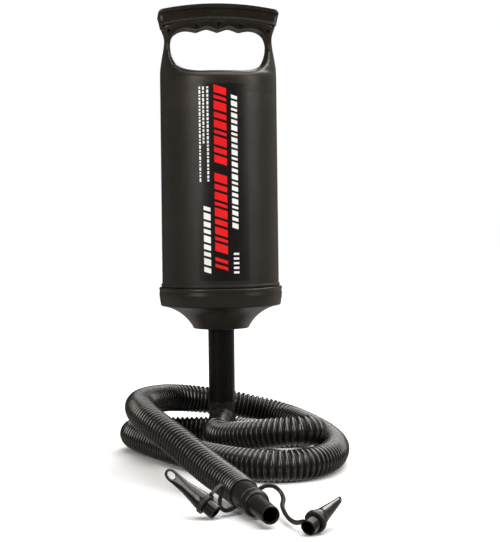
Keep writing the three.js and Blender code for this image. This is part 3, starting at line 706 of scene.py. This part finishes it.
def turned_shell():
    """The shell below the shoulder: neck, bead and barrel wall."""
    bore, radius = BARREL_BORE_RADIUS, BARREL_RADIUS
    foot = filleted([
        (bore, BARREL_END, 0.3), (radius - 0.3, BARREL_END, 0.6), (radius - 0.3, BEAD_BOTTOM, 0.1),
        (radius + 1, BEAD_BOTTOM + 0.5, 0.8), (radius + 1, BEAD_TOP - 0.5, 1.2), (radius, BEAD_TOP, 0.6),
    ])
    wall = np.linspace(BEAD_TOP + 2, SHOULDER, 12)
    draft = np.column_stack([wall_radius(wall), wall])
    return lathe(np.concatenate([foot, draft, [[bore, SHOULDER]]]), BARREL_SIDES)


def cut_below(points, faces, normals, height):
    """The part of a mesh above a height, with the point normals carried along."""
    work = bmesh.new()
    layer = work.verts.layers.float_vector.new("normal")
    made = []
    for point, normal in zip(points, normals):
        vertex = work.verts.new(point)
        vertex[layer] = Vector(normal)
        made.append(vertex)
    for face in faces:
        work.faces.new([made[i] for i in face])
    bmesh.ops.bisect_plane(
        work, geom=[*work.verts, *work.edges, *work.faces], dist=1e-6,
        plane_co=(0, 0, height), plane_no=(0, 0, -1), clear_outer=True,
    )
    work.verts.index_update()
    kept = np.array([v.co[:] for v in work.verts])
    kept_normals = np.array([v[layer][:] for v in work.verts])
    kept_faces = [[v.index for v in face.verts] for face in work.faces]
    work.free()
    return kept, kept_faces, kept_normals


def make_shell():
    sculpted = polygonised(shell_top, (-63, -63, 360), (63, 63, 448), 1.0)
    points, faces, normals = cut_below(*sculpted, SHOULDER)
    turned = turned_shell()
    mesh = joined((points, faces), turned)
    normals = np.concatenate([normals, area_normals(*turned)])
    add_piece("barrel_shell", mesh, barrel_plastic, "barrel", "barrel_shell", normals)


# ---------------------------------------------------------------- grip cap and pins


def grip_cap_shape(x, y, z):
    """The upper half of the grip: a thin flange over a cove, then a body that flares out to the seam."""
    depth = grip_top_height(x) - z
    narrowing = 0.1 * np.maximum(np.abs(x) - 56, 0) ** 2
    flange = round_max(np.abs(y) - 21 + narrowing, depth - 4.4, 2.2)
    half = np.interp(depth, [2, 5, 7, 9.5, 12, 14, 16.1], [16.4, 15, 14.7, 14.9, 15.6, 16.6, 18])
    body = np.abs(y) - half + narrowing
    side = round_min(flange, body, 1.2)
    end = np.abs(x) - np.interp(z, [430, 436, 448.5, 460], [57.2, 58.7, 61.9, 62.4])
    corner = round_max(end, -depth, 4.5)
    whole = round_max(corner, side, 0.8)
    return round_max(whole, seam_height(x) + 0.25 - z, 0.9)


def make_grip_cap():
    points, faces, normals = polygonised(grip_cap_shape, (-65, -23, 432), (65, 23, 463), 0.8)
    add_piece("grip_cap", (points, faces), grip_plastic, "barrel", "grip_cap", normals)


def make_grip_pins():
    for i, (x, z, half_length) in enumerate(GRIP_PINS):
        length = 2 * (half_length - GRIP_PIN_RECESS)
        corners = [(0, 0, 0), (GRIP_PIN_RADIUS, 0, 0.25), (GRIP_PIN_RADIUS, length, 0.25), (0, length, 0)]
        pin = placed(lathe(filleted(corners, 4), 24), (x, -length / 2, z), (0, 1, 0), (0, 0, 1))
        add_piece(f"grip_pin_{i + 1}", pin, steel, "barrel", f"grip_pin_{i + 1}")


make_shell()
make_grip_cap()
make_grip_pins()

# ---------------------------------------------------------------- label

LABEL_BOTTOM, LABEL_TOP = 178.0, 374.0
LABEL_HALF_ARC = 25.9  # half its width along the barrel's surface
FILM_LIFT = 0.1  # of the film's face off the barrel's wall
PRINT_LIFT = 0.16


def wall_point(arc, z, lift):
    """A point on the barrel's front, an arc length to the right of the middle, lifted off the wall."""
    angle = arc / BARREL_RADIUS
    radius = wall_radius(z) + lift
    return radius * math.sin(angle), -radius * math.cos(angle), z


def wall_sheet(low_arc, high_arc, bottom, top, lift, slant=0.0, rows=1):
    """A patch of film on the barrel's front; slant raises its right side."""
    columns = max(2, math.ceil((high_arc - low_arc) / 1.2) + 1)
    arcs = np.linspace(low_arc, high_arc, columns)
    heights = np.linspace(bottom, top, rows + 1)
    middle = (low_arc + high_arc) / 2
    points = [wall_point(arc, z + slant * (arc - middle), lift) for z in heights for arc in arcs]
    faces = [
        [r * columns + c, r * columns + c + 1, (r + 1) * columns + c + 1, (r + 1) * columns + c]
        for r in range(rows)
        for c in range(columns - 1)
    ]
    return np.array(points, float), faces


def blocks(low_arc, high_arc, top, bottom, sizes, gap, slant):
    """A column of slanted blocks from top to bottom, their heights taken in turn from sizes."""
    made, z, turn = [], top, 0
    while z - sizes[turn % len(sizes)] >= bottom:
        size = sizes[turn % len(sizes)]
        made.append(wall_sheet(low_arc, high_arc, z - size, z, PRINT_LIFT, slant))
        z -= size + gap
        turn += 1
    return joined(*made)


def make_label():
    """Dark film with plain red and white blocks in rows where a sticker has its print."""
    film = wall_sheet(-LABEL_HALF_ARC, LABEL_HALF_ARC, LABEL_BOTTOM, LABEL_TOP, FILM_LIFT, rows=24)
    red = joined(
        blocks(-9.4, 3.2, 371, 289, (7.4, 3.2, 8.4, 5.2), 2.6, -0.32),
        blocks(-9.4, 3.2, 284, 206, (8.4, 5.2, 7.4, 3.2), 2.6, -0.32),
        blocks(-9.4, 3.2, 200, 186, (3.4,), 3, -0.32),
    )
    white = joined(
        blocks(8, 14.2, 362, 226, (3.4, 5.2, 2.4, 4.4), 2.2, -0.3),
        blocks(9, 14.6, 206, 182, (2.2,), 2.4, 0),
        blocks(-20.8, -13.8, 252, 186, (4, 6.4, 5), 2.4, -0.3),
        blocks(-24.6, -22.9, 371, 275, (2.2, 3.4, 1.4), 1.3, 0),
        blocks(-20.8, -19.1, 371, 312, (3.2, 1.8, 2.6), 1.3, 0),
        blocks(-16.6, -14.6, 371, 275, (1.8, 3.2, 2.6), 1.3, 0),
    )
    mesh = joined(film, red, white)
    label = add_piece("label", mesh, label_film, "barrel", "label")
    label.data.materials.append(print_red)
    label.data.materials.append(print_white)
    kinds = np.repeat([0, 1, 2], [len(film[1]), len(red[1]), len(white[1])])
    label.data.polygons.foreach_set("material_index", kinds.astype(np.int32))


make_label()

# ---------------------------------------------------------------- end cap


def make_end_cap():
    """The collar: a trumpet-shaped mouth round the rod, a rounded skirt and the ledge inside it."""
    t = np.linspace(0, 1, 28)[:, None]
    start, pull, end = np.array([29, 127.8]), np.array([39.5, 146.8]), np.array([61.6, 150.9])
    trumpet = start * (1 - t) ** 2 + pull * 2 * t * (1 - t) + end * t**2
    inside = filleted([
        (64, 167.6, 1.5), (63.5, 170, 1), (61, 170.1, 0.4), (60.8, 168, 0.3), (60.8, 152, 0.5),
        (55, 152, 1), (41, 147, 4), (32, 138, 4), (26.5, 129.6, 1), (15.6, 129.6, 0.4),
        (15.6, 126.9, 0.4), (28.7, 126.9, 0.5),
    ])
    skirt = filleted([(58, 150.4, 0), (62.2, 151.1, 1.1), (63.6, 160.5, 3), (64, 167.6, 0)])[1:-1]
    profile = np.concatenate([trumpet, skirt, inside])
    add_piece("end_cap", lathe(profile, BARREL_SIDES), collar_plastic, "barrel", "end_cap")


make_end_cap()

# ---------------------------------------------------------------- hidden pieces keep their CAD shape

INNER_MATERIALS = {"seal_rubber": seal_rubber, "inner_plastic": inner_plastic, "steel": steel}


def dress_inner_nodes():
    """Rubber, pale plastic and steel on the CAD solids that nothing replaces."""
    for node, slot in slot_of.items():
        if slot in INNER_MATERIALS and node in bpy.data.objects and not node.startswith("grip_pin"):
            holder = bpy.data.objects[node]
            for place in holder.material_slots:
                place.material = INNER_MATERIALS[slot]


dress_inner_nodes()

# ---------------------------------------------------------------- floor and light


def make_floor():
    data = bpy.data.meshes.new("floor")
    data.from_pydata([(-9, -9, 0), (9, -9, 0), (9, 9, 0), (-9, 9, 0)], [], [(0, 1, 2, 3)])
    floor = bpy.data.objects.new("floor", data)
    floor.visible_glossy = False  # the pump mirrors the dark studio, not the table
    bpy.context.scene.collection.objects.link(floor)
    material = bpy.data.materials.new("floor_white")
    material.use_nodes = True
    shader = material.node_tree.nodes["Principled BSDF"]
    shader.inputs["Base Color"].default_value = (0.93, 0.93, 0.93, 1)
    shader.inputs["Roughness"].default_value = 0.9
    shader.inputs["Specular IOR Level"].default_value = 0.0
    data.materials.append(material)


WARM = (1.0, 0.94, 0.88)  # the colour of the lamps and of the room's glow


def softbox(name, azimuth, elevation, distance, width, height, power):
    """An area lamp that faces the pump; azimuth turns from the front toward +X."""
    turn, rise = math.radians(azimuth), math.radians(elevation)
    target = Vector((0, 0, 0.25))
    place = target + distance * Vector((
        math.sin(turn) * math.cos(rise), -math.cos(turn) * math.cos(rise), math.sin(rise),
    ))
    data = bpy.data.lights.new(name, "AREA")
    data.shape = "RECTANGLE"
    data.size, data.size_y, data.energy = width, height, power
    data.color = WARM
    lamp = bpy.data.objects.new(name, data)
    lamp.location = place
    lamp.rotation_mode = "QUATERNION"
    lamp.rotation_quaternion = (target - place).to_track_quat("-Z", "Y")
    bpy.context.scene.collection.objects.link(lamp)


def make_world():
    """White to the camera, and a dark room to all else.

    The room glows softly behind the pump, most on the right, and a pale table glows a little below it.
    """
    world = bpy.data.worlds.new("studio")
    world.use_nodes = True
    nodes, links = world.node_tree.nodes, world.node_tree.links
    split = nodes.new("ShaderNodeSeparateXYZ")
    links.new(nodes.new("ShaderNodeTexCoord").outputs["Generated"], split.inputs["Vector"])

    def ramp(axis, start, end, low, high):
        spread = nodes.new("ShaderNodeMapRange")
        spread.interpolation_type = "SMOOTHSTEP"
        for socket, value in zip(("From Min", "From Max", "To Min", "To Max"), (start, end, low, high)):
            spread.inputs[socket].default_value = value
        links.new(split.outputs[axis], spread.inputs["Value"])
        return spread.outputs["Result"]

    def combine(operation, first, second):
        math_node = nodes.new("ShaderNodeMath")
        math_node.operation = operation
        links.new(first, math_node.inputs[0])
        links.new(second, math_node.inputs[1])
        return math_node.outputs["Value"]

    behind = ramp("Y", -0.3, 0.7, 0.03, 1)
    sides = combine("ADD", ramp("X", 0.05, 0.8, 0.04, 0.4), ramp("X", -0.2, -0.8, 0, 0.12))
    sides = combine("ADD", sides, ramp("Z", -0.3, -0.75, 0, 0.35))
    room = nodes["Background"]
    room.inputs["Color"].default_value = (*WARM, 1)
    table_glow = combine("MULTIPLY", ramp("Z", -0.12, -0.3, 0, 0.3), ramp("Z", -0.75, -0.45, 0, 1))
    links.new(combine("ADD", combine("MULTIPLY", behind, sides), table_glow), room.inputs["Strength"])
    white = nodes.new("ShaderNodeBackground")
    white.inputs["Color"].default_value = (1, 1, 1, 1)
    mix = nodes.new("ShaderNodeMixShader")
    links.new(nodes.new("ShaderNodeLightPath").outputs["Is Camera Ray"], mix.inputs[0])
    links.new(room.outputs["Background"], mix.inputs[1])
    links.new(white.outputs["Background"], mix.inputs[2])
    links.new(mix.outputs["Shader"], nodes["World Output"].inputs["Surface"])
    bpy.context.scene.world = world


def make_sun():
    """A broad, even overhead light, a little from the right, that burns the table out to white."""
    data = bpy.data.lights.new("sun", "SUN")
    data.energy = 3.5
    data.angle = math.radians(75)
    sun = bpy.data.objects.new("sun", data)
    sun.rotation_mode = "QUATERNION"
    sun.rotation_quaternion = Vector((-0.22, -0.12, -1)).to_track_quat("-Z", "Y")
    bpy.context.scene.collection.objects.link(sun)


make_floor()
make_world()
make_sun()
# name, azimuth, elevation, distance, width, height, power
softbox("left_box", -47, 22, 1.3, 0.5, 0.9, 8.2)
softbox("right_box", 62, 22, 1.5, 0.6, 1.0, 8.5)
softbox("back_box", 150, 42, 1.6, 1.0, 0.5, 12)
bpy.context.scene.view_settings.view_transform = "Standard"
